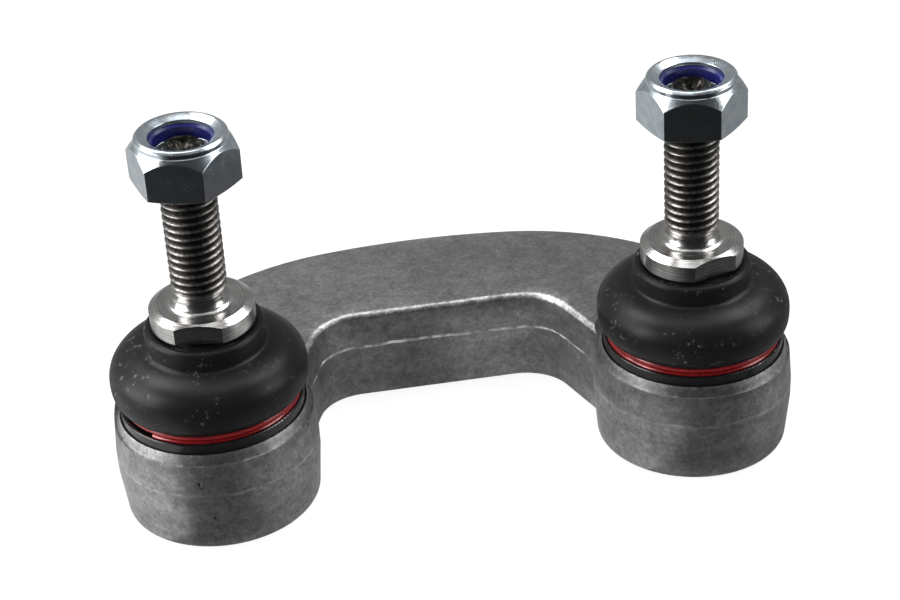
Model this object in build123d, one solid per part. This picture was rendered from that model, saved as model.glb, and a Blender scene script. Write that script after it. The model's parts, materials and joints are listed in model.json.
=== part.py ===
from build123d import *
import os
from math import atan2, cos, degrees, hypot, radians, sin, sqrt, tan

# Stabiliser link: a forged C-shaped light-alloy body with an upright ball joint at each end.
# Row frame in millimetres: origin at the centre of the left joint's base, +X to the right joint,
# +Z up along the joint housings, and the arm bows away to +Y.

# Body plan
joint_pitch = 91.4        # between the two joint centres
housing_r = 18.9          # joint housing at its parting band
arm_back_y = 56.2         # back of the arm at mid length
back_arc_r = 130.0        # shallow arc along the back
shoulder_x = 12.0         # centre of the arc from the back round to each housing, from mid length
pocket_y = 25.4           # inner wall of the arm
pocket_corner_x = 22.2    # where the inner wall meets each leg, from mid length
pocket_corner_r = 9.0
leg_end_angle = 155.0     # where each leg runs into its housing
leg_root_r = 2.5

# Body heights
arm_top_z = 20.0
flash_low_z = 9.1         # the trimmed parting band lies between these two heights
flash_high_z = 12.3
draft_angle = 4.9         # forging draft above and below the band
base_edge_r = 1.3
top_edge_r = 1.4
crown_drop = 0.7          # the top falls this much over crown_width to its edges
crown_width = 4.5

# Ball, seat and bore
ball_r = 9.5
ball_clearance = 0.15
seat_wall = 4.4
seat_floor = 1.2
housing_floor = 2.25
seat_fit = 0.05
seat_slot_w = 1.2
seat_slots = 6
seat_slot_depth = 7.0
seat_grip = 3.7           # the seat reaches this far above the ball's centre

# Closing ring and the rolled lip that holds it
rim_step = 0.85           # turned rim inside the housing's radius
rim_bevel = 0.3
rim_start = 0.5           # above the seat
rim_bevel_h = 0.65
lip_wall = 1.0
lip_h = 2.0               # of the lip's closing part
ring_fit = 0.1
ring_shoulder = 0.25      # the ring's foot is wider than its neck
ring_foot_h = 1.3
ring_neck_h = 3.8
ring_flange_t = 0.5
channel_w = 2.25
channel_depth = 1.7
ring_inner_rise = 0.7
ring_inner_t = 1.6
ring_hole_gap = 0.2       # round the ball
tool_cone_angle = 48.0    # clearance turned round the rim for the rolling tool

# Dust boot
boot_wall = 2.0
bead_fit = 0.1
bead_t = 0.9
boot_lip_rise = 1.8       # above the closing ring
boot_flank_rise = 1.8     # above the boot's lip
boot_bulge_rise = 4.1
boot_bulge_out = 1.11     # beyond the ring's neck
boot_flank_in = 0.16
boot_dome_h = 6.6
boot_dome_power = 0.93
boot_shelf_w = 1.4        # flat top of the dome round the upper bead
neck_r = 10.9
neck_h = 3.75
neck_top_gap = 0.75       # below the collar
neck_edge_r = 0.8
neck_fit = 0.1

# Stud
thread_r = 5.0            # M10
thread_pitch = 1.5
thread_depth = 0.86
thread_crest = 0.25
thread_root = 0.3
thread_undercut = 0.016
thread_l = 28.6
neck_stem_r = 5.0         # between the ball and the boot seat
shank_r = 4.6             # plain length between the collar and the thread
shank_l = 2.5
boot_seat_r = 6.0
boot_seat_l = 5.6
boot_seat_cone = 1.0
collar_t = 3.9
collar_r = 9.5
collar_bevel_w = 1.3
collar_bevel_h = 0.9
collar_flats = 17.0       # across the two spanner flats
collar_fillet = 2.0
stud_end_bevel = 0.9
centre_hole_r = 2.1
centre_hole_angle = 60.0

# Wire ring on the lower bead
wire_r = 0.56
wire_gap = 0.04           # between its turns
wire_bead_gap = 0.02
wire_drop = 0.13          # its lower turn below the closing ring's top
wire_low_angle = 250.0    # of the lower turn, before the wire climbs
wire_climb_angle = 40.0
wire_end_gap_angle = 6.0

# Split spring ring in the upper bead
spring_r = 8.2
spring_w = 1.4
spring_h = 1.3
spring_gap_angle = 24.0
spring_fit = 0.1

# Self-locking nut, 17 mm across flats
nut_across_flats = 17.0
nut_h = 9.4
nut_face_in = 0.2         # bearing face inside the flats
nut_bevel_h = 0.4
nut_corner_h = 5.85       # where the top cone meets the corners
nut_top_cone_angle = 50.6
nut_hex_h = 8.0           # from the underside to the crimped band
crimp_in = 0.5            # crimped band inside the flats
crimp_ledge_in = 1.15
crimp_wall = 0.95
crimp_hole_gap = 0.65     # round the thread
crimp_dip = 0.8           # the rolled lip dips inward by this much
crimp_t = 0.65
crimp_round_r = 0.6
nut_bore_fit = 0.06
insert_h = 2.35
insert_fit = 0.05

# How each stud stands in the rest pose, in degrees: tilt about X and swing about Y. Then how
# far below the stud's end its nut sits, and the turns of the nut, of the spanner flats and of the
# start of the wire ring
sides = {
    "left": dict(x=0.0, tilt=2.92, swing=0.63, nut_down=6.87, nut_turn=-13.0, flat_turn=-98.0, wire_turn=-134.0),
    "right": dict(x=joint_pitch, tilt=2.41, swing=-1.78, nut_down=7.1, nut_turn=-15.0, flat_turn=-76.0, wire_turn=150.0),
}

# Worked out from the sizes above: radii, then heights from the base, then along a stud from its ball
mid_x = joint_pitch / 2
bore_r = ball_r + seat_wall
rim_r = housing_r - rim_step
ring_neck_r = rim_r - lip_wall - ring_fit
ring_r = ring_neck_r + ring_shoulder
turned_bore_r = ring_r + ring_fit
channel_inner_r = ring_neck_r - ring_flange_t - channel_w
ring_hole_r = sqrt((ball_r + ball_clearance) ** 2 - seat_grip ** 2) + ring_hole_gap
boot_lip_r = ring_neck_r
boot_bulge_r = ring_neck_r + boot_bulge_out
bead_in_r = channel_inner_r + bead_fit
bead_out_r = bead_in_r + bead_t
corner_r = nut_across_flats / sqrt(3)
crimp_r = nut_across_flats / 2 - crimp_in
insert_r = crimp_r - crimp_wall - insert_fit

ball_z = housing_floor + seat_floor + ball_clearance + ball_r
seat_top_z = ball_z + seat_grip
rim_z = seat_top_z + rim_start
lip_bottom_z = rim_z + rim_bevel_h
ring_shoulder_z = seat_top_z + ring_foot_h
lip_top_z = ring_shoulder_z + lip_h
ring_top_z = ring_shoulder_z + ring_neck_h
channel_floor_z = ring_top_z - channel_depth
ring_inner_top_z = ring_top_z + ring_inner_rise
boot_lip_z = ring_top_z + boot_lip_rise
boot_bulge_z = boot_lip_z + boot_bulge_rise

boot_lip_at = boot_lip_z - ball_z
boot_bulge_at = boot_bulge_z - ball_z
boot_top_at = boot_bulge_at + boot_dome_h
neck_top = boot_top_at + neck_h
collar_start = neck_top + neck_top_gap
collar_top = collar_start + collar_t
thread_start = collar_top + shank_l
stud_end = thread_start + thread_l
insert_base = nut_h - crimp_dip - crimp_t - insert_fit - insert_h


def turned(points):
    """A solid of revolution about Z from (radius, height) or (radius, height, rounding) points."""
    outline = make_face(Polyline(*[(p[0], 0, p[1]) for p in points], close=True))
    for p in points:
        if len(p) == 3:
            corner = outline.vertices().sort_by_distance((p[0], 0, p[1]))[0]
            outline = fillet(corner, p[2])
    return revolve(outline, Axis.Z)


def at_joint(side, share=1.0):
    """The frame at a ball centre, leaning by a share of that stud's rest tilt and swing."""
    s = sides[side]
    return Pos(s["x"], 0, ball_z) * Rotation(s["tilt"] * share, s["swing"] * share, 0)


def shoulder_arc():
    """Centre height and radius of the arc that touches both the back arc and the right housing."""
    back_y = arm_back_y - back_arc_r
    across = mid_x - shoulder_x
    # The radius is slope * y + start along the line of centres that suit both circles
    slope = back_y / (back_arc_r - housing_r)
    start = (across ** 2 - shoulder_x ** 2 - back_y ** 2 - housing_r ** 2 + back_arc_r ** 2) / (2 * (back_arc_r - housing_r))
    a = 1 - slope ** 2
    b = -slope * (start - housing_r)
    c = across ** 2 - (start - housing_r) ** 2
    y = (-b + sqrt(b * b - a * c)) / a
    return y, slope * y + start


def arc_between(centre, radius, start, end):
    """An arc about a centre, from one angle to another in degrees."""
    return CenterArc((*centre, 0), radius, start, end - start)


def body_plan():
    """The body's outline at its parting band, symmetric about mid length."""
    back_centre = (0, arm_back_y - back_arc_r)
    shoulder_y, shoulder_r = shoulder_arc()
    shoulder = (shoulder_x, shoulder_y)
    back_end = degrees(atan2(shoulder[1] - back_centre[1], shoulder[0]))
    shoulder_end = degrees(atan2(-shoulder[1], mid_x - shoulder[0]))
    leg_end = (mid_x + housing_r * cos(radians(leg_end_angle)), housing_r * sin(radians(leg_end_angle)))
    half = [
        arc_between(back_centre, back_arc_r, 90, back_end),
        arc_between(shoulder, shoulder_r, back_end, shoulder_end),
        arc_between((mid_x, 0), housing_r, shoulder_end, leg_end_angle - 360),
        Line(leg_end, (pocket_corner_x, pocket_y)),
        Line((pocket_corner_x, pocket_y), (0, pocket_y)),
    ]
    right = make_face(half + [Line((0, pocket_y), (0, arm_back_y))])
    plan = right + mirror(right, Plane.YZ)
    corners = [v for v in plan.vertices() if abs(abs(v.X) - pocket_corner_x) < 0.1 and abs(v.Y - pocket_y) < 0.1]
    plan = fillet(corners, pocket_corner_r)
    roots = [v for v in plan.vertices() if abs(abs(v.X) - leg_end[0]) < 0.1 and abs(v.Y - leg_end[1]) < 0.1]
    plan = fillet(roots, leg_root_r)
    return make_face(plan.faces()[0].outer_wire().edges())


def forging():
    """The drafted body before turning: a straight parting band between two tapered halves."""
    plan = body_plan()
    band = extrude(Pos(0, 0, flash_low_z) * plan, flash_high_z - flash_low_z)
    upper = extrude(Pos(0, 0, flash_high_z) * plan, arm_top_z - flash_high_z, taper=draft_angle)
    lower = extrude(Pos(0, 0, flash_low_z) * plan, -flash_low_z, taper=draft_angle)
    body = band + upper + lower
    base = body.faces().sort_by(Axis.Z)[0]
    body = fillet(base.outer_wire().edges(), base_edge_r)
    top = body.faces().sort_by(Axis.Z)[-1]
    body = chamfer(top.outer_wire().edges(), crown_width, crown_drop, reference=top)
    edge_z = arm_top_z - crown_drop
    rim = body.edges().filter_by_position(Axis.Z, edge_z - 0.01, edge_z + 0.01)
    return fillet(rim, top_edge_r)


def link_body():
    """Forged arm with a blind turned bore and a thin rolled lip at each end."""
    body = Pos(mid_x, 0, 0) * forging()
    above = arm_top_z + 5
    reach = rim_r + (above - lip_bottom_z) * tan(radians(tool_cone_angle))
    spare_top = turned([(0, rim_z), (rim_r + rim_bevel, rim_z), (rim_r, lip_bottom_z), (reach, above), (0, above)])
    lip = turned([
        (turned_bore_r, seat_top_z),
        (rim_r + rim_bevel, seat_top_z),
        (rim_r + rim_bevel, rim_z),
        (rim_r, lip_bottom_z),
        (ring_neck_r + ring_fit + lip_wall / 4, lip_top_z),
        (ring_neck_r + ring_fit, lip_top_z - lip_h / 6),
        (ring_neck_r + ring_fit, ring_shoulder_z + 2 * ring_shoulder),
        (turned_bore_r, ring_shoulder_z),
    ])
    bore = turned([(0, housing_floor), (bore_r, housing_floor), (bore_r, seat_top_z),
                   (turned_bore_r, seat_top_z), (turned_bore_r, above), (0, above)])
    for side in sides.values():
        place = Pos(side["x"], 0, 0)
        body = body - place * spare_top - place * bore + place * lip
    return body


def ball_seat(side):
    """Plastic shell round the ball, slotted so that the ball snaps in from above."""
    r = bore_r - seat_fit
    shell = turned([(0, housing_floor), (r, housing_floor), (r, seat_top_z), (0, seat_top_z)])
    hollow = Pos(0, 0, ball_z) * Sphere(ball_r + ball_clearance)
    mouth_r = sqrt((ball_r + ball_clearance) ** 2 - seat_grip ** 2)
    mouth = Pos(0, 0, seat_top_z) * Cylinder(mouth_r, seat_wall, align=(Align.CENTER, Align.CENTER, Align.CENTER))
    slot = Pos(bore_r, 0, seat_top_z - seat_slot_depth / 2) * Box(2 * seat_wall + 4, seat_slot_w, seat_slot_depth)
    shell = shell - hollow - mouth
    for k in range(seat_slots):
        shell = shell - Rotation(0, 0, k * 360 / seat_slots) * slot
    return Pos(sides[side]["x"], 0, 0) * shell


def closing_ring(side):
    """Steel ring held by the rolled lip, with a channel round its top for the boot's bead."""
    ring = turned([
        (ring_hole_r, seat_top_z),
        (ring_r, seat_top_z),
        (ring_r, ring_shoulder_z),
        (ring_neck_r, ring_shoulder_z + 2 * ring_shoulder),
        (ring_neck_r, ring_top_z, ring_flange_t / 2),
        (ring_neck_r - ring_flange_t, ring_top_z),
        (ring_neck_r - ring_flange_t, channel_floor_z),
        (channel_inner_r, channel_floor_z),
        (channel_inner_r, ring_inner_top_z),
        (channel_inner_r - ring_inner_t, ring_inner_top_z),
    ])
    return Pos(sides[side]["x"], 0, 0) * ring


def thread_points():
    """Ring grooves at the thread's pitch: points from its start up to the stud's end."""
    crest = thread_r - thread_undercut
    root = thread_r - thread_depth
    slope_h = (thread_pitch - thread_crest - thread_root) / 2
    points = []
    for k in range(int((thread_l - stud_end_bevel) / thread_pitch)):
        h = thread_start + k * thread_pitch
        points += [(crest, h), (crest, h + thread_crest), (root, h + thread_crest + slope_h),
                   (root, h + thread_pitch - slope_h)]
    last = points[-1][1] + slope_h
    return points + [(crest, last), (crest, stud_end - stud_end_bevel), (thread_r - stud_end_bevel, stud_end)]


def ball_stud(side):
    """Ball, neck, boot seat, collar with two spanner flats, and the threaded end."""
    turn = sides[side]["flat_turn"]
    stem = turned([
        (0, 0),
        (neck_stem_r, 0),
        (neck_stem_r, collar_start - boot_seat_l - boot_seat_cone),
        (boot_seat_r, collar_start - boot_seat_l),
        (boot_seat_r, collar_start),
        (collar_r, collar_start),
        (collar_r, collar_top - collar_bevel_h),
        (collar_r - collar_bevel_w, collar_top),
        (shank_r, collar_top, collar_fillet),
        (shank_r, thread_start - (thread_r - shank_r)),
        *thread_points(),
        (0, stud_end),
    ])
    flat = Pos(collar_flats / 2, 0, collar_start) * Box(
        collar_r, 4 * collar_r, collar_t, align=(Align.MIN, Align.CENTER, Align.MIN))
    centre_hole = Pos(0, 0, stud_end) * Rotation(180, 0, 0) * Cone(
        centre_hole_r, 0.01, centre_hole_r / tan(radians(centre_hole_angle / 2)),
        align=(Align.CENTER, Align.CENTER, Align.MIN))
    body = stem + Sphere(ball_r)
    for k in (0, 180):
        body = body - Rotation(0, 0, turn + k) * flat
    return at_joint(side) * (body - centre_hole)


def dome_point(angle, edge_r, height):
    """A point of the dome's section, from its widest ring at 0 degrees to its flat top at 90."""
    flat_r = neck_r - boot_shelf_w
    r = flat_r + (edge_r - flat_r) * cos(radians(angle)) ** boot_dome_power
    return r, boot_bulge_at + height * sin(radians(angle)) ** boot_dome_power


def boot_outline():
    """Outer and inner stations of the boot: radius, height above the ball and share of the lean."""
    outer = [(boot_lip_r, boot_lip_at, 0.0), (boot_bulge_r - boot_flank_in, boot_lip_at + boot_flank_rise, 0.15)]
    inner = [(bead_in_r, boot_lip_at - 0.3, 0.0)]
    for k, angle in enumerate((0, 25, 45, 65, 82)):
        outer.append((*dome_point(angle, boot_bulge_r, boot_dome_h), 0.3 + 0.7 * k / 4))
    for k, angle in enumerate((0, 30, 60, 80)):
        inner.append((*dome_point(angle, boot_bulge_r - boot_wall, boot_dome_h - boot_wall), 0.3 + 0.7 * k / 3))
    return outer, inner


def skin(side, stations):
    """A smooth solid through circles that lean more and more with the stud."""
    return loft([at_joint(side, share) * Pos(0, 0, h) * Circle(r) for r, h, share in stations])


def dust_boot(side):
    """Rubber dome with a lower bead in the ring's channel and an upper bead on the stud."""
    outer, inner = boot_outline()
    floor = channel_floor_z + bead_fit - ball_z
    under_lip = boot_lip_at - 0.12
    bead = turned([
        (bead_in_r, floor),
        (bead_out_r, floor),
        (bead_out_r, under_lip, 0.1),
        (boot_lip_r - 0.25, under_lip),
        (boot_lip_r, boot_lip_at),
        (boot_lip_r, boot_lip_at + 0.15),
        (bead_in_r, boot_lip_at + 0.15),
    ])
    hole_r = boot_seat_r + neck_fit
    groove_in = spring_r - spring_w / 2 - spring_fit
    groove_out = spring_r + spring_w / 2 + spring_fit
    groove_floor = neck_top - spring_h - 0.35
    collar = turned([
        (hole_r, boot_top_at - boot_wall - 0.3),
        (neck_r, boot_top_at - boot_wall + 0.2),
        (neck_r, neck_top, neck_edge_r),
        (groove_out, neck_top),
        (groove_out, groove_floor),
        (groove_in, groove_floor),
        (groove_in, neck_top),
        (hole_r, neck_top),
    ])
    passage = Pos(0, 0, boot_top_at - 2 * boot_wall) * Cylinder(
        hole_r, 4 * boot_wall, align=(Align.CENTER, Align.CENTER, Align.MIN))
    dome = skin(side, outer) - skin(side, inner) - at_joint(side) * passage
    return dome + at_joint(side, 0) * bead + at_joint(side) * collar


def boot_clamp_ring(side):
    """Lacquered spring wire wound flat round the lower bead, climbing once to its upper turn."""
    r = bead_out_r + wire_r + wire_bead_gap
    wire_pitch = 2 * wire_r + wire_gap
    climb_end = wire_low_angle + wire_climb_angle
    upper_angle = 360 - wire_climb_angle - wire_end_gap_angle
    low = CenterArc((0, 0, 0), r, 0, wire_low_angle)
    high = CenterArc((0, 0, wire_pitch), r, climb_end, upper_angle)
    middle = radians(wire_low_angle + wire_climb_angle / 2)
    climb = Spline(low @ 1, (r * cos(middle), r * sin(middle), wire_pitch / 2), high @ 0,
                   tangents=[low % 1, high % 0])
    section = Plane(origin=low @ 0, z_dir=low % 0) * Circle(wire_r)
    wire = sweep(section, path=Wire([low, climb, high]))
    return Pos(sides[side]["x"], 0, ring_top_z - wire_drop) * Rotation(0, 0, sides[side]["wire_turn"]) * wire


def boot_neck_ring(side):
    """Split flat spring ring that holds the upper bead on the stud."""
    floor = neck_top - spring_h - 0.25
    ring = turned([
        (spring_r - spring_w / 2, floor),
        (spring_r + spring_w / 2, floor),
        (spring_r + spring_w / 2, floor + spring_h),
        (spring_r - spring_w / 2, floor + spring_h),
    ])
    gap_w = 2 * spring_r * sin(radians(spring_gap_angle / 2))
    gap = Pos(-spring_r, 0, floor + spring_h / 2) * Box(4 * spring_w, gap_w, 2 * spring_h)
    return at_joint(side) * (ring - gap)


def nut_frame(side):
    """The frame on a nut's underside, turned as that nut stands."""
    s = sides[side]
    return at_joint(side) * Pos(0, 0, stud_end - s["nut_down"]) * Rotation(0, 0, s["nut_turn"])


def lock_nut(side):
    """Bevelled hexagon with a crimped band rolled over the locking insert."""
    slope = tan(radians(nut_top_cone_angle))
    cone_top_r = corner_r - (nut_hex_h - nut_corner_h) / slope
    prism = extrude(RegularPolygon(corner_r, 6), nut_hex_h)
    envelope = turned([
        (0, 0),
        (nut_across_flats / 2 - nut_face_in, 0),
        (corner_r, nut_bevel_h),
        (corner_r, nut_corner_h),
        (cone_top_r, nut_hex_h),
        (0, nut_hex_h),
    ])
    hole_r = thread_r + nut_bore_fit
    pocket_r = insert_r + insert_fit
    lip_r = thread_r + crimp_hole_gap
    lip_h_out = nut_h - crimp_dip
    under_lip = lip_h_out - crimp_t
    crimp = turned([
        (pocket_r, insert_base),
        (crimp_r, insert_base),
        (crimp_r, nut_h - crimp_round_r),
        (nut_across_flats / 2 - crimp_ledge_in, nut_h, crimp_round_r),
        (lip_r, lip_h_out),
        (lip_r, under_lip),
        (pocket_r, under_lip),
    ])
    bore = turned([(0, -1), (hole_r, -1), (hole_r, insert_base), (pocket_r, insert_base),
                   (pocket_r, under_lip), (lip_r, under_lip), (lip_r, nut_h), (0, nut_h)])
    return nut_frame(side) * ((prism & envelope) - bore + crimp)


def nut_insert(side):
    """Nylon locking ring inside the crimped band."""
    floor = insert_base + insert_fit
    hole_r = thread_r + nut_bore_fit
    ring = turned([
        (hole_r, floor),
        (insert_r, floor),
        (insert_r, floor + insert_h - insert_fit),
        (hole_r + 0.35, floor + insert_h - insert_fit),
        (hole_r, floor + insert_h - insert_fit - 0.35),
    ])
    return nut_frame(side) * ring


def write(shape, node):
    """One STEP file per sub-part, named after it."""
    shape.label = node
    export_step(shape, f"parts/{node}.step")


per_side = [ball_seat, closing_ring, ball_stud, dust_boot, boot_clamp_ring, boot_neck_ring, lock_nut, nut_insert]

os.makedirs("parts", exist_ok=True)
write(link_body(), "link_body")
for name in sides:
    for piece in per_side:
        write(piece(name), f"{name}_{piece.__name__}")
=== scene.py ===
import json
import math

import bmesh
import bpy
from mathutils import Matrix, Quaternion, Vector

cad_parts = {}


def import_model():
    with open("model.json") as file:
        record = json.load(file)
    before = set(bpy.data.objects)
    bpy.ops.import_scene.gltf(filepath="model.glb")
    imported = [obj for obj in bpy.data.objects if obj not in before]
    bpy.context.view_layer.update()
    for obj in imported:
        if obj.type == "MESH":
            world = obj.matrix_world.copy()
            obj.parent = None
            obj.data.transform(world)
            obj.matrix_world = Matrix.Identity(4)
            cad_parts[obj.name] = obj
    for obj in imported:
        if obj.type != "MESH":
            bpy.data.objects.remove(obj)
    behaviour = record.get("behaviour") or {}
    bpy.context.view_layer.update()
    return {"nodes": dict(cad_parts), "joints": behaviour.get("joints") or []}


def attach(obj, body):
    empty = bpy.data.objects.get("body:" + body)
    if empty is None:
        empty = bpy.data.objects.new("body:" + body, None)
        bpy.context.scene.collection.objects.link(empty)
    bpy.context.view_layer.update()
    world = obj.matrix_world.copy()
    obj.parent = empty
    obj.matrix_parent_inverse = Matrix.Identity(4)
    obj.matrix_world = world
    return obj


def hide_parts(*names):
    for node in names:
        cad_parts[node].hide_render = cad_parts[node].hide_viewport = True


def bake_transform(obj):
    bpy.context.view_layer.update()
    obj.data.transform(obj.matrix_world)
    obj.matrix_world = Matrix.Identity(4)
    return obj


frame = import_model()
joints = {j["name"]: j for j in frame["joints"]}
MM = 0.001
SIDES = ("left", "right")

# All sizes are in millimetres. Heights named _Z start at the bases, the others at a joint's ball centre.
JOINT_PITCH = 91.4
BALL_Z = 13.1
FLASH_LOW_Z, FLASH_TOP_Z = 9.1, 12.3

# Link body: where the arm is, and the surfaces painted lighter: a painted highlight along the arm's inner top
# edge, and the rims and lip, part turned metal and part painted highlight
ARM_X = (12.0, 79.4)
ARM_FROM_Y = 11.0
ARM_CENTRE = (JOINT_PITCH / 2, 2.0, 0.0)
EDGE_FROM_Z = 17.0
RIM_Z, RIM_R = (17.0, 18.2), (17.4, 19.2)
LIP_FROM_Z = 20.0
RIM_WEAR_AND_HIGHLIGHT = 0.45
HOUSING_FLASH_AND_GLINT = 0.15
FACES_IN = 0.2
EDGE_LEAN, EDGE_SPREAD, EDGE_GAIN = 0.66, 0.42, 1.8

# Ball stud
SHANK_CUT, SHANK_R = 31.7, 4.6
THREAD_R, THREAD_PITCH, THREAD_DEPTH, THREAD_START = 4.98, 1.5, 0.86, 32.2
THREAD_STEPS = 72
RUN_IN_FROM, RUN_IN_L = THREAD_START - 0.5, 1.9
STUD_END, END_BEVEL, END_CUT = 60.8, 1.8, 0.12
TIP_LEAST_R = 3.0
# Share of painted shade that the thread's flanks and crests take
FLANK_SHADE = 0.42
# Radius over the root and height of the points of one thread
THREAD_FORM = ((0.0, 0.0), (0.02, 0.14), (0.43, 0.43), (0.80, 0.68), (0.86, 0.76), (0.86, 0.90), (0.80, 0.98),
               (0.43, 1.21))
# Radius and height over the stud's end of the points of its dished tip
TIP_FORM = ((3.38, -0.14), (3.2, -0.03), (3.05, 0.0), (2.3, -0.05), (1.9, -0.4), (0.6, -2.2), (0.02, -2.3))

# Dust boot
BOOT_LIP, BOOT_BULGE_R, BOOT_BULGE, BOOT_DOME_H = 23.7 - BALL_Z, 18.06, 27.8 - BALL_Z, 6.6
BOOT_TOP = BOOT_BULGE + BOOT_DOME_H
BOOT_SEAM, DOME_POWER, BOOT_WALL, BOOT_SHELF = 31.5 - BALL_Z, 0.93, 2.0, 1.4
BOOT_STEPS = 96
BEAD_IN_R, BEAD_OUT_R, BEAD_FOOT = 14.35, 15.15, 20.4 - BALL_Z
NECK_R, NECK_TOP, NECK_ROUND = 10.9, 25.05, 0.8
CHANNEL_R, CHANNEL_DEPTH, BORE_R = 9.1, 1.6, 6.15
# Radius and height over the lip of the points from the closing ring to the bulge
SKIRT_FORM = ((16.85, 0.0), (17.0, 0.25), (17.3, 0.62), (17.55, 1.05), (17.75, 1.5), (17.92, 2.1),
              (18.02, 2.8), (18.06, 3.5))


def joint_frame(side, share=1.0):
    """Ball centre, and a turn whose Z leans by a share of the stud's lean at rest."""
    spin, swing = joints[f"{side}_stud_spin"], joints[f"{side}_stud_swing"]
    z = Vector(spin["axis"]).normalized()
    x = Vector(swing["axis"]).cross(z).normalized()
    full = Matrix((x, z.cross(x), z)).transposed().to_quaternion()
    part = Quaternion().slerp(full, share)
    return Matrix.Translation(Vector(spin["pos_m"])) @ part.to_matrix().to_4x4()


# Materials

class Shader:
    """A node tree with short ways to add to it. Values are numbers, colours or other nodes' outputs."""

    def __init__(self, tree):
        tree.nodes.clear()
        self.tree = tree

    def add(self, kind):
        return self.tree.nodes.new(kind)

    def put(self, value, socket):
        if isinstance(value, tuple):
            socket.default_value = (*value, 1.0)
        elif isinstance(value, (int, float)):
            socket.default_value = value
        else:
            self.tree.links.new(value, socket)

    def ramp(self, source, low, high):
        """A ramp between two stops, each a position and a grey or a colour."""
        node = self.add("ShaderNodeValToRGB")
        for element, (place, value) in zip(node.color_ramp.elements, (low, high)):
            element.position = place
            element.color = (*value, 1.0) if isinstance(value, tuple) else (value, value, value, 1.0)
        self.put(source, node.inputs[0])
        return node.outputs[0]

    def calc(self, kind, a, b=0.0, clamp=False):
        node = self.add("ShaderNodeMath")
        node.operation = kind
        node.use_clamp = clamp
        self.put(a, node.inputs[0])
        self.put(b, node.inputs[1])
        return node.outputs[0]

    def times(self, a, b, clamp=False):
        return self.calc("MULTIPLY", a, b, clamp)

    def plus(self, a, b, clamp=False):
        return self.calc("ADD", a, b, clamp)

    def minus(self, a, b):
        return self.calc("SUBTRACT", a, b)

    def blend(self, factor, a, b, kind="MIX"):
        node = self.add("ShaderNodeMix")
        node.data_type = "RGBA"
        node.blend_type = kind
        self.put(factor, node.inputs["Factor"])
        self.put(a, node.inputs[6])
        self.put(b, node.inputs[7])
        return node.outputs[2]

    def shade(self, colour, by):
        return self.blend(1.0, colour, by, "MULTIPLY")

    def seen_rays(self):
        """1 for camera, glossy and transmission rays, and 0 for the light that the stage gives."""
        path = self.add("ShaderNodeLightPath").outputs
        seen = self.plus(path["Is Camera Ray"], path["Is Glossy Ray"], True)
        return self.plus(seen, path["Is Transmission Ray"], True)


class Finish(Shader):
    """A material with one surface, whose patterns are in object coordinates."""

    def __init__(self, name):
        self.material = bpy.data.materials.new(name)
        self.material.use_nodes = True
        super().__init__(self.material.node_tree)
        surface = self.add("ShaderNodeBsdfPrincipled")
        self.inputs = surface.inputs
        self.put(surface.outputs[0], self.add("ShaderNodeOutputMaterial").inputs["Surface"])
        self.at = self.add("ShaderNodeTexCoord").outputs["Object"]

    def attribute(self, name):
        node = self.add("ShaderNodeAttribute")
        node.attribute_name = name
        return node.outputs["Fac"]

    def noise(self, scale, detail, rough, stretch=None):
        tex = self.add("ShaderNodeTexNoise")
        tex.inputs["Scale"].default_value = scale
        tex.inputs["Detail"].default_value = detail
        tex.inputs["Roughness"].default_value = rough
        place = self.at
        if stretch:
            mapping = self.add("ShaderNodeMapping")
            mapping.inputs["Scale"].default_value = stretch
            self.put(place, mapping.inputs["Vector"])
            place = mapping.outputs[0]
        self.put(place, tex.inputs["Vector"])
        return tex.outputs["Fac"]

    def bump(self, height, strength, distance):
        node = self.add("ShaderNodeBump")
        node.inputs["Strength"].default_value = strength
        node.inputs["Distance"].default_value = distance
        self.put(height, node.inputs["Height"])
        self.put(node.outputs[0], self.inputs["Normal"])


def plain_finish(name, dark, light, metallic, rough, scale, grain=0.1, coat=0.0):
    """A plain finish whose tone, gloss and surface vary a little."""
    look = Finish(name)
    cloud = look.noise(scale, 5.0, 0.6)
    look.put(look.ramp(cloud, (0.35, dark), (0.65, light)), look.inputs["Base Color"])
    look.put(look.ramp(cloud, (0.3, rough * 1.2), (0.7, rough * 0.85)), look.inputs["Roughness"])
    look.put(metallic, look.inputs["Metallic"])
    look.put(coat, look.inputs["Coat Weight"])
    look.put(0.08, look.inputs["Coat Roughness"])
    look.bump(look.noise(scale * 6, 3.0, 0.6), grain, 0.00004)
    return look.material


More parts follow.
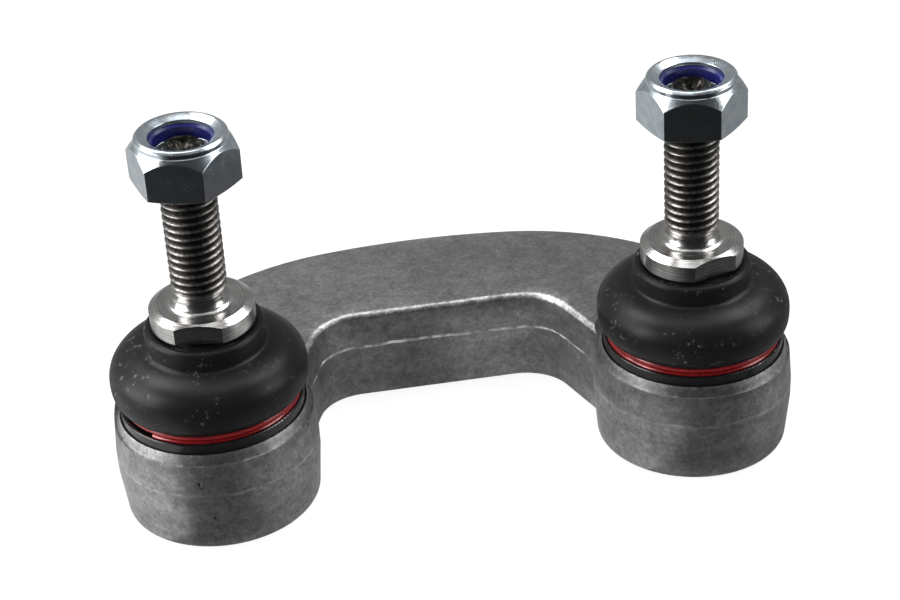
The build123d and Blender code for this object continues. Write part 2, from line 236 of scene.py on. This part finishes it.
def forged_metal():
    """Satin forging: mottled and finely grained, pitted here and there, with a painted highlight along its
    inner edge, rims lighter (part turned metal, part painted highlight) and a flash line painted near white
    (part trimmed metal, part painted highlight).
    """
    look = Finish("forged alloy")
    cloud = look.noise(70.0, 6.0, 0.62)
    grain = look.noise(1300.0, 5.0, 0.75)
    drawn = look.noise(300.0, 4.0, 0.65, (1.0, 1.0, 0.35))
    level = look.noise(60.0, 4.0, 0.6, (0.6, 0.6, 4.0))
    scuff = look.noise(430.0, 6.0, 0.72)
    pit = look.ramp(look.noise(300.0, 2.0, 0.5), (0.235, 1.0), (0.265, 0.0))
    colour = look.ramp(cloud, (0.32, (0.285, 0.278, 0.282)), (0.68, (0.395, 0.390, 0.385)))
    colour = look.shade(colour, look.ramp(grain, (0.36, 0.72), (0.64, 1.15)))
    colour = look.shade(colour, look.ramp(level, (0.40, 0.84), (0.60, 1.06)))
    colour = look.shade(colour, look.ramp(scuff, (0.38, 0.80), (0.62, 1.16)))
    colour = look.blend(pit, colour, (0.07, 0.065, 0.06))

    # The painted highlight along the inner edge, and the lighter rims (part turned metal, part painted
    # highlight), broken up by the grain
    broken = look.ramp(drawn, (0.40, 0.12), (0.60, 1.0))
    highlight_and_rim_wear = look.times(look.attribute("edge_highlight_and_rim_wear"), broken, True)
    highlight_and_rim_wear = look.times(highlight_and_rim_wear, look.ramp(grain, (0.42, 0.35), (0.56, 1.0)), True)

    # The flash line, which wanders up and down and has gaps, painted near white: part trimmed metal, part a
    # painted highlight along its edge. Its height is in millimetres.
    split = look.add("ShaderNodeSeparateXYZ")
    look.put(look.at, split.inputs[0])
    height = look.plus(split.outputs["Z"], look.times(look.noise(130.0, 3.0, 0.5), 0.0011))
    height = look.times(look.minus(height, FLASH_TOP_Z * MM + 0.00055), 1000.0)
    wall = look.attribute("inner_wall")
    line = look.ramp(look.calc("ABSOLUTE", height), (0.16, 1.0), (0.36, 0.0))
    for mask in (wall, broken, look.ramp(look.noise(110.0, 4.0, 0.7), (0.40, 0.4), (0.52, 1.0))):
        line = look.times(line, mask, True)

    # Painted highlight: the inner edge, the rims and the flash line are mixed toward light grey
    bright = look.calc("MAXIMUM", highlight_and_rim_wear, look.times(line, 0.9), True)
    colour = look.blend(bright, colour, (0.78, 0.77, 0.76))
    # Painted highlight: the flash line is mixed further toward white and made less metallic
    colour = look.blend(look.times(line, 0.8), colour, (0.95, 0.94, 0.93))
    look.put(colour, look.inputs["Base Color"])
    look.put(look.minus(0.92, look.times(line, 0.75)), look.inputs["Metallic"])
    rough = look.ramp(cloud, (0.3, 0.46), (0.7, 0.36))
    look.put(look.blend(bright, rough, (0.42, 0.42, 0.42)), look.inputs["Roughness"])
    relief = look.plus(look.times(cloud, 2.0), look.times(grain, 0.6))
    relief = look.plus(relief, look.times(drawn, 0.6))
    step = look.times(look.ramp(height, (0.0, 1.0), (0.14, 0.0)), wall)
    relief = look.plus(relief, look.times(step, 1.6))
    relief = look.minus(relief, look.times(pit, 1.5))
    look.bump(relief, 0.40, 0.00013)
    return look.material


def boot_rubber():
    """Satin black rubber with grey dust specks."""
    look = Finish("boot rubber")
    dust = look.ramp(look.noise(800.0, 6.0, 0.75), (0.585, 0.0), (0.64, 1.0))
    patch = look.ramp(look.noise(110.0, 3.0, 0.6), (0.46, 0.0), (0.60, 1.0))
    colour = look.blend(look.times(dust, patch), (0.0085, 0.0083, 0.0088), (0.12, 0.12, 0.12))
    look.put(colour, look.inputs["Base Color"])
    look.put(look.ramp(patch, (0.0, 0.36), (1.0, 0.44)), look.inputs["Roughness"])
    look.put(0.19, look.inputs["Specular IOR Level"])
    look.bump(look.noise(2500.0, 3.0, 0.6), 0.15, 0.00005)
    return look.material


def stud_steel():
    """Turned steel: fine marks round the stud, painted shade over the thread that is darkest in its roots,
    painted glints on the thread, and a dark, speckled, rough end.
    """
    look = Finish("stud steel")
    cloud = look.noise(260.0, 4.0, 0.6)
    turning = look.add("ShaderNodeTexNoise")
    turning.noise_dimensions = "1D"
    turning.inputs["Scale"].default_value = 3.2
    turning.inputs["Detail"].default_value = 3.0
    look.put(look.attribute("turning"), turning.inputs["W"])
    marks = turning.outputs["Fac"]
    root, end = look.attribute("thread_root_shade"), look.attribute("end_face")
    colour = look.ramp(cloud, (0.35, (0.46, 0.45, 0.44)), (0.65, (0.68, 0.67, 0.655)))
    colour = look.shade(colour, look.ramp(marks, (0.35, 0.78), (0.65, 1.05)))
    # Painted shade over the thread, darkest in its roots
    colour = look.blend(root, colour, (0.055, 0.048, 0.042))
    # Painted glints and dark specks over the thread, faded out off it
    painted_glints = look.ramp(look.noise(1500.0, 3.0, 0.7), (0.38, 0.45), (0.62, 1.20))
    painted_glints = look.blend(look.ramp(root, (0.2, 0.0), (0.4, 1.0)), (1.0, 1.0, 1.0), painted_glints)
    colour = look.shade(colour, painted_glints)
    # The end face speckled dark and grey
    end_speckle = look.ramp(look.noise(900.0, 5.0, 0.7), (0.50, (0.007, 0.007, 0.006)), (0.70, (0.26, 0.24, 0.22)))
    look.put(look.blend(end, colour, end_speckle), look.inputs["Base Color"])
    look.put(1.0, look.inputs["Metallic"])
    rough = look.ramp(cloud, (0.3, 0.27), (0.7, 0.19))
    rough = look.blend(root, rough, (0.5, 0.5, 0.5))
    look.put(look.blend(end, rough, (0.5, 0.5, 0.5)), look.inputs["Roughness"])
    crumbs = look.times(end, look.noise(1400.0, 4.0, 0.7))
    look.bump(look.plus(look.times(marks, 0.45), crumbs), 0.25, 0.00006)
    return look.material


FORGED = forged_metal()
RUBBER = boot_rubber()
STEEL = stud_steel()
ZINC = plain_finish("zinc plate", (0.54, 0.62, 0.69), (0.74, 0.80, 0.83), 1.0, 0.235, 420.0, 0.22)
RED = plain_finish("red lacquer", (0.22, 0.008, 0.010), (0.30, 0.012, 0.014), 0.2, 0.26, 500.0, 0.1, 0.6)
BLACK = plain_finish("gloss black", (0.006, 0.006, 0.007), (0.010, 0.010, 0.011), 0.0, 0.22, 300.0, 0.08, 0.3)
NYLON = plain_finish("blue nylon", (0.010, 0.012, 0.10), (0.014, 0.016, 0.15), 0.0, 0.30, 500.0, 0.15)
SEAT = plain_finish("seat plastic", (0.60, 0.58, 0.50), (0.72, 0.70, 0.62), 0.0, 0.5, 200.0)
SPRING = plain_finish("spring steel", (0.20, 0.20, 0.20), (0.30, 0.30, 0.30), 1.0, 0.35, 400.0)


# Mesh helpers

def as_object(name, bm, material, angle, crease_heights=()):
    """Turns a bmesh into an object, smooth but for edges over the angle and level edges at the heights."""
    for face in bm.faces:
        face.smooth = True
    for edge in bm.edges:
        edge.smooth = len(edge.link_faces) != 2 or edge.calc_face_angle(0.0) < math.radians(angle)
        for height in crease_heights:
            if all(abs(vert.co.z - height * MM) < 2e-5 for vert in edge.verts):
                edge.smooth = False
    mesh = bpy.data.meshes.new(name)
    bm.to_mesh(mesh)
    bm.free()
    obj = bpy.data.objects.new(name, mesh)
    bpy.context.scene.collection.objects.link(obj)
    mesh.materials.append(material)
    return obj


def merged_copy(node):
    """A bmesh of a CAD node with its loose triangles joined."""
    bm = bmesh.new()
    bm.from_mesh(frame["nodes"][node].data)
    bmesh.ops.remove_doubles(bm, verts=bm.verts, dist=2e-6)
    bmesh.ops.dissolve_degenerate(bm, edges=bm.edges, dist=2e-6)
    return bm


def round_edges(obj, width, angle):
    mod = obj.modifiers.new("edges", "BEVEL")
    mod.width = width * MM
    mod.segments = 2
    mod.limit_method = "ANGLE"
    mod.angle_limit = math.radians(angle)
    mod.harden_normals = False


def dressed(node, material, width, body):
    """A merged copy of a CAD node with small rounded edges, which stands for the node."""
    obj = as_object(node + ".shape", merged_copy(node), material, 28.0)
    round_edges(obj, width, 28.0)
    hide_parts(node)
    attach(obj, body)


def turned(profile, steps, climb=0.0):
    """Spins a line of (radius, height) points round Z, rising by climb in one turn."""
    bm = bmesh.new()
    line = [bm.verts.new((r * MM, 0.0, h * MM)) for r, h in profile]
    for a, b in zip(line, line[1:]):
        bm.edges.new((a, b))
    bmesh.ops.spin(
        bm, geom=bm.verts[:] + bm.edges[:], cent=(0, 0, 0), axis=(0, 0, 1), dvec=(0, 0, climb * MM / steps),
        angle=math.tau, steps=steps, use_merge=climb == 0.0,
    )
    bmesh.ops.remove_doubles(bm, verts=bm.verts, dist=1e-6)
    bmesh.ops.recalc_face_normals(bm, faces=bm.faces)
    return bm


def cut_at(bm, height, keep_below):
    """Cuts a bmesh at a height and keeps what is below or above it."""
    bmesh.ops.bisect_plane(
        bm, geom=bm.verts[:] + bm.edges[:] + bm.faces[:], dist=1e-7, plane_co=(0, 0, height * MM),
        plane_no=(0, 0, 1), clear_outer=keep_below, clear_inner=not keep_below,
    )


def vertex_layer(bm, name):
    return bm.verts.layers.float.get(name) or bm.verts.layers.float.new(name)


def clamped(value, low=0.0, high=1.0):
    return max(low, min(high, value))


# Link body

def link_body():
    """The forging, with a painted highlight marked along its inner top edge, its rims and lip marked lighter
    (part turned metal, part painted highlight), and its inner wall marked for the material.
    """
    bm = merged_copy("link_body")
    bm.normal_update()
    edge_highlight_and_rim_wear = vertex_layer(bm, "edge_highlight_and_rim_wear")
    inner = vertex_layer(bm, "inner_wall")
    for vert in bm.verts:
        x, y, z = vert.co / MM
        toward = Vector(ARM_CENTRE) * MM - vert.co
        toward.z = 0.0
        faces_in = vert.normal.dot(toward.normalized()) > FACES_IN
        on_arm = ARM_X[0] < x < ARM_X[1] and y > ARM_FROM_Y and faces_in
        from_joint = min(math.hypot(x, y), math.hypot(x - JOINT_PITCH, y))
        on_rim = RIM_Z[0] < z < RIM_Z[1] and RIM_R[0] < from_joint < RIM_R[1]
        vert[inner] = 1.0 if on_arm else HOUSING_FLASH_AND_GLINT
        # Painted highlight on the arm's top inner edge, strongest where the normal leans up by EDGE_LEAN; the
        # rims and lip are part turned metal, part painted highlight
        if on_arm and z > EDGE_FROM_Z:
            vert[edge_highlight_and_rim_wear] = clamped((1.0 - abs(vert.normal.z - EDGE_LEAN) / EDGE_SPREAD) * EDGE_GAIN)
        elif on_rim or z > LIP_FROM_Z:
            vert[edge_highlight_and_rim_wear] = RIM_WEAR_AND_HIGHLIGHT
    obj = as_object("link_body.shape", bm, FORGED, 25.0, (FLASH_LOW_Z, FLASH_TOP_Z))
    round_edges(obj, 0.18, 25.0)
    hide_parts("link_body")
    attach(obj, "link")


# Ball stud: the collar end from its CAD shape, a rolled thread and a dished tip

def stud_thread():
    """The helical thread, which grows out of the shank and ends in a bevel, marked for painted shade: darkest
    in its roots, lighter on its flanks and crests.
    """
    root_r = THREAD_R - THREAD_DEPTH
    points = []
    h = THREAD_START - 2 * THREAD_PITCH
    while h < STUD_END + THREAD_PITCH:
        points += [(root_r + over, h + rise) for over, rise in THREAD_FORM]
        h += THREAD_PITCH
    bm = turned(points, THREAD_STEPS, THREAD_PITCH)
    root = vertex_layer(bm, "thread_root_shade")
    for vert in bm.verts:
        h = vert.co.z / MM
        r = math.hypot(vert.co.x, vert.co.y) / MM
        run_in = clamped((h - RUN_IN_FROM) / RUN_IN_L)
        run_in = run_in * run_in * (3 - 2 * run_in)
        new_r = min(SHANK_R + (r - SHANK_R) * run_in, THREAD_R + 0.05 + (STUD_END - END_BEVEL - h))
        new_r = max(new_r, TIP_LEAST_R)
        # Painted shade: the whole thread by FLANK_SHADE, more toward the roots, faded in along the run-in
        vert[root] = clamped(FLANK_SHADE + (THREAD_R - 0.12 - r) / 0.5, FLANK_SHADE) * run_in
        vert.co.x *= new_r / r
        vert.co.y *= new_r / r
    cut_at(bm, SHANK_CUT, False)
    cut_at(bm, STUD_END - END_CUT, True)
    return bm


def ball_stud(side):
    tip = turned([(r, STUD_END + over) for r, over in TIP_FORM], THREAD_STEPS)
    end_face = vertex_layer(tip, "end_face")
    for vert in tip.verts:
        vert[end_face] = 1.0
    lower = merged_copy(f"{side}_ball_stud")
    lower.transform(joint_frame(side).inverted())
    cut_at(lower, SHANK_CUT, True)
    whole = bmesh.new()
    for part in (lower, stud_thread(), tip):
        turning = vertex_layer(part, "turning")
        for vert in part.verts:
            vert[turning] = (math.hypot(vert.co.x, vert.co.y) - vert.co.z) / MM
        held = bpy.data.meshes.new("part")
        part.to_mesh(held)
        part.free()
        whole.from_mesh(held)
        bpy.data.meshes.remove(held)
    whole.transform(joint_frame(side))
    obj = as_object(f"{side}_ball_stud.shape", whole, STEEL, 18.0)
    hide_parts(f"{side}_ball_stud")
    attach(obj, f"{side}_stud")


# Dust boots, in two parts that meet on the dome, bent from the lip to the neck along the stud's lean

def boot_share(h):
    """How much of the stud's lean the boot takes at a height."""
    return clamped((h - BOOT_LIP) / (BOOT_TOP - 0.5 - BOOT_LIP))


def dome_point(r, rise, power, angle):
    """A point of the dome's curve from its widest ring (0 degrees) to its flat top (90 degrees)."""
    flat_r = NECK_R - BOOT_SHELF
    across, up = math.cos(math.radians(angle)), math.sin(math.radians(angle))
    return flat_r + (r - flat_r) * max(0.0, across) ** power, BOOT_BULGE + rise * up ** power


def dome_curve(r, rise, power, low, high, steps):
    return [dome_point(r, rise, power, low + (high - low) * k / steps) for k in range(steps + 1)]


def seam_angle(rise, power):
    return math.degrees(math.asin(((BOOT_SEAM - BOOT_BULGE) / rise) ** (1 / power)))


def boot_lines():
    """The lower part's line from the seam's inside to its outside, and the upper part's line back."""
    outer = (BOOT_BULGE_R, BOOT_DOME_H, DOME_POWER)
    inner = (BOOT_BULGE_R - BOOT_WALL, BOOT_DOME_H - BOOT_WALL, 1.0)
    seam_out, seam_in = seam_angle(*outer[1:]), seam_angle(*inner[1:])
    lower = [dome_point(*inner, seam_in)]
    lower += dome_curve(*inner, seam_in - 0.5, 0.0, 5)
    lower += [(BEAD_IN_R, BOOT_BULGE - 1.5), (BEAD_IN_R, BEAD_FOOT), (BEAD_OUT_R, BEAD_FOOT),
              (BEAD_OUT_R, BOOT_LIP - 0.2), (15.3, BOOT_LIP - 0.12), (16.5, BOOT_LIP - 0.12)]
    lower += [(r, BOOT_LIP + over) for r, over in SKIRT_FORM]
    lower += dome_curve(*outer, 0.0, seam_out - 0.5, 7)
    lower.append(dome_point(*outer, seam_out))
    upper = [dome_point(*outer, seam_out)]
    upper += dome_curve(*outer, seam_out + 0.5, 79.0, 11)
    upper += [(NECK_R + 0.28, BOOT_TOP - 0.02), (NECK_R + 0.08, BOOT_TOP + 0.08), (NECK_R, BOOT_TOP + 0.3),
              (NECK_R, NECK_TOP - NECK_ROUND)]
    for k in range(1, 7):
        t = math.radians(15.0 * k)
        upper.append((NECK_R - NECK_ROUND * (1 - math.cos(t)), NECK_TOP - NECK_ROUND * (1 - math.sin(t))))
    upper += [(9.6, NECK_TOP), (9.3, NECK_TOP - 0.1), (CHANNEL_R, NECK_TOP - 0.4),
              (CHANNEL_R, NECK_TOP - CHANNEL_DEPTH), (BORE_R, NECK_TOP - CHANNEL_DEPTH),
              (BORE_R, BOOT_TOP + 1.2), (8.9, BOOT_TOP + 0.9), (9.9, BOOT_TOP + 0.2)]
    upper += dome_curve(*inner, 56.0, seam_in + 0.5, 2)
    upper.append(dome_point(*inner, seam_in))
    return lower, upper


def dust_boot(side):
    seam = joint_frame(side, boot_share(BOOT_SEAM))
    for k, (name, line) in enumerate(zip(("skirt", "dome"), boot_lines())):
        bm = turned(line, BOOT_STEPS)
        for vert in bm.verts:
            vert.co = joint_frame(side, boot_share(vert.co.z / MM)) @ vert.co
        obj = as_object(f"{side}_boot_{name}", bm, RUBBER, 60.0)
        if name == "dome":
            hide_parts(f"{side}_dust_boot")
        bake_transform(obj)


# Every piece of the part

KEPT_NODES = {"boot_clamp_ring": RED, "nut_insert": NYLON, "ball_seat": SEAT, "boot_neck_ring": SPRING}

link_body()
for side in SIDES:
    ball_stud(side)
    dust_boot(side)
    dressed(f"{side}_lock_nut", ZINC, 0.28, f"{side}_nut")
    dressed(f"{side}_closing_ring", BLACK, 0.15, "link")
    for node, material in KEPT_NODES.items():
        slots = frame["nodes"][f"{side}_{node}"].data.materials
        slots.clear()
        slots.append(material)


# Camera, fitted to the photograph

def camera():
    yaw, pitch, roll = 0.140, 0.523, 0.057
    focal_px, width_px, sensor = 1787.0, 900.0, 36.0
    shift = Vector((2.278, 30.402, 345.9))
    forward = Vector((math.sin(yaw) * math.cos(pitch), math.cos(yaw) * math.cos(pitch), -math.sin(pitch)))
    right = Vector((math.cos(yaw), -math.sin(yaw), 0.0))
    down = forward.cross(right)
    row0 = right * math.cos(roll) + down * math.sin(roll)
    row1 = down * math.cos(roll) - right * math.sin(roll)
    place = Vector((JOINT_PITCH / 2, 0.0, 0.0)) - Matrix((row0, row1, forward)).transposed() @ shift
    data = bpy.data.cameras.new("camera")
    data.sensor_width = sensor
    data.lens = focal_px / width_px * sensor
    data.clip_start = 0.01
    obj = bpy.data.objects.new("camera", data)
    turn = Matrix((row0, -row1, -forward)).transposed().to_4x4()
    obj.matrix_world = Matrix.Translation(place * MM) @ turn
    bpy.context.scene.collection.objects.link(obj)
    bpy.context.scene.camera = obj


# Studio, in metres

FLOOR_HALF, FLOOR_Z = 3.0, -0.00005
FLOOR_SEEN, FLOOR_GLOW = 0.8, 1.14
SKY = 0.22
CARD_LIFT = 0.00003
LAMP_TARGET = (0.0457, 0.015, 0.03)

# Strength and corners of the cards that the metal sees on the table: mid grey, dark in front, bright to the
# left and behind. Each lies a little over the one before.
TABLE_CARDS = (
    ("grey table", 0.27, ((-0.8, -1.4), (1.6, -1.4), (1.6, 1.2), (-0.8, 1.2))),
    ("dark table", 0.012, ((-0.010, -0.0205), (-0.03, -0.042), (-0.14, -0.10), (-1.0, -0.45), (-1.0, -1.2),
                           (1.2, -1.2), (0.14, -0.035), (0.11, -0.0195))),
    ("near table", 0.13, ((-0.009, -0.0195), (-0.04, -0.055), (0.15, -0.055), (0.11, -0.0195))),
    ("left table", 0.88, ((-0.010, -0.0195), (-0.03, -0.041), (-0.14, -0.099), (-0.8, -0.36), (-0.8, 0.9),
                          (-0.06, 0.04), (-0.02, 0.01))),
    ("back table", 0.50, ((-0.06, 0.045), (-0.8, 1.0), (0.3, 1.0), (0.085, 0.058), (0.0, 0.05))),
    ("inside left table", 0.38, ((0.012, -0.040), (0.056, -0.040), (0.056, 0.012), (0.012, 0.012))),
    ("inside right table", 0.68, ((0.056, -0.040), (0.079, -0.040), (0.079, 0.012), (0.056, 0.012))),
    ("shaded left table", 0.28, ((0.015, 0.0125), (0.05, 0.0125), (0.05, 0.03), (0.015, 0.03))),
    ("shaded right table", 0.42, ((0.05, 0.0125), (0.077, 0.0125), (0.077, 0.03), (0.05, 0.03))),
    ("right table", 0.33, ((0.106, -0.028), (0.128, -0.032), (0.135, 0.03), (0.106, 0.03))),
)

# Strength and corners of the cards round the table
WALL_CARDS = (
    ("dark front", 0.025, ((-1.4, -1.0, 0.0), (1.6, -1.0, 0.0), (1.6, -0.5, 1.3), (-1.4, -0.5, 1.3))),
    ("dark roof", 0.09, ((-1.4, -0.5, 1.3), (1.6, -0.5, 1.3), (1.6, 1.2, 1.4), (-1.4, 1.2, 1.4))),
    ("grey back", 0.28, ((-1.4, 1.2, 0.0), (1.6, 1.2, 0.0), (1.6, 1.2, 1.4), (-1.4, 1.2, 1.4))),
    ("left side", 0.35, ((-1.4, -1.0, 0.0), (-1.4, 1.2, 0.0), (-1.4, 1.2, 1.4), (-1.4, -0.5, 1.3))),
    ("right side", 0.2, ((1.6, -1.0, 0.0), (1.6, 1.2, 0.0), (1.6, 1.2, 1.4), (1.6, -0.5, 1.3))),
)

# Place, size and power of the lamps
LAMPS = (
    ("top softbox", (0.04, -0.02, 0.80), (0.45, 0.35), 1.1),
    ("upper left softbox", (-0.36, 0.24, 0.68), (0.34, 0.34), 3.6),
    ("upper right softbox", (0.50, 0.13, 0.68), (0.34, 0.34), 3.0),
    ("left softbox", (-0.75, -0.02, 0.34), (0.60, 0.60), 8.2),
    ("right softbox", (0.85, -0.25, 0.35), (0.4, 0.6), 3.2),
)


def area_lamp(name, at, size, power):
    data = bpy.data.lights.new(name, "AREA")
    data.shape = "RECTANGLE"
    data.size, data.size_y = size
    data.energy = power
    obj = bpy.data.objects.new(name, data)
    obj.location = at
    obj.rotation_euler = (Vector(LAMP_TARGET) - Vector(at)).to_track_quat("-Z", "Y").to_euler()
    bpy.context.scene.collection.objects.link(obj)


def stage_plane(name, corners):
    mesh = bpy.data.meshes.new(name)
    bm = bmesh.new()
    bm.faces.new([bm.verts.new(corner) for corner in corners])
    bm.to_mesh(mesh)
    bm.free()
    obj = bpy.data.objects.new(name, mesh)
    bpy.context.scene.collection.objects.link(obj)
    mat = bpy.data.materials.new(name)
    mat.use_nodes = True
    mesh.materials.append(mat)
    return obj, Shader(mat.node_tree)


def floor():
    """A pale floor that camera and reflections see as white, and that still takes the part's shadow."""
    half = FLOOR_HALF
    corners = [(x, y, FLOOR_Z) for x, y in ((-half, -half), (half, -half), (half, half), (-half, half))]
    _, shader = stage_plane("floor", corners)
    paper = shader.add("ShaderNodeBsdfDiffuse")
    shader.put((0.8, 0.8, 0.8), paper.inputs["Color"])
    glow = shader.add("ShaderNodeEmission")
    shader.put(FLOOR_GLOW, glow.inputs["Strength"])
    mix = shader.add("ShaderNodeMixShader")
    shader.put(shader.times(shader.seen_rays(), FLOOR_SEEN), mix.inputs[0])
    shader.put(paper.outputs[0], mix.inputs[1])
    shader.put(glow.outputs[0], mix.inputs[2])
    shader.put(mix.outputs[0], shader.add("ShaderNodeOutputMaterial").inputs["Surface"])


def card(name, strength, corners):
    """A card that only reflections see, as a studio's grey cards round the metal."""
    obj, shader = stage_plane(name, corners)
    glow = shader.add("ShaderNodeEmission")
    shader.put(strength, glow.inputs["Strength"])
    shader.put(glow.outputs[0], shader.add("ShaderNodeOutputMaterial").inputs["Surface"])
    obj.visible_camera = False
    obj.visible_diffuse = False
    obj.visible_transmission = False
    obj.visible_shadow = False
    obj.visible_volume_scatter = False


def world():
    made = bpy.data.worlds.new("world")
    bpy.context.scene.world = made
    made.use_nodes = True
    shader = Shader(made.node_tree)
    back = shader.add("ShaderNodeBackground")
    shader.put(shader.calc("MAXIMUM", shader.seen_rays(), SKY), back.inputs["Strength"])
    shader.put(back.outputs[0], shader.add("ShaderNodeOutputWorld").inputs["Surface"])


camera()
floor()
world()
for k, (name, strength, corners) in enumerate(TABLE_CARDS, 1):
    card(name, strength, [(x, y, CARD_LIFT * k) for x, y in corners])
for name, strength, corners in WALL_CARDS:
    card(name, strength, corners)
for name, at, size, power in LAMPS:
    area_lamp(name, at, size, power)

bpy.context.scene.view_settings.view_transform = "Standard"
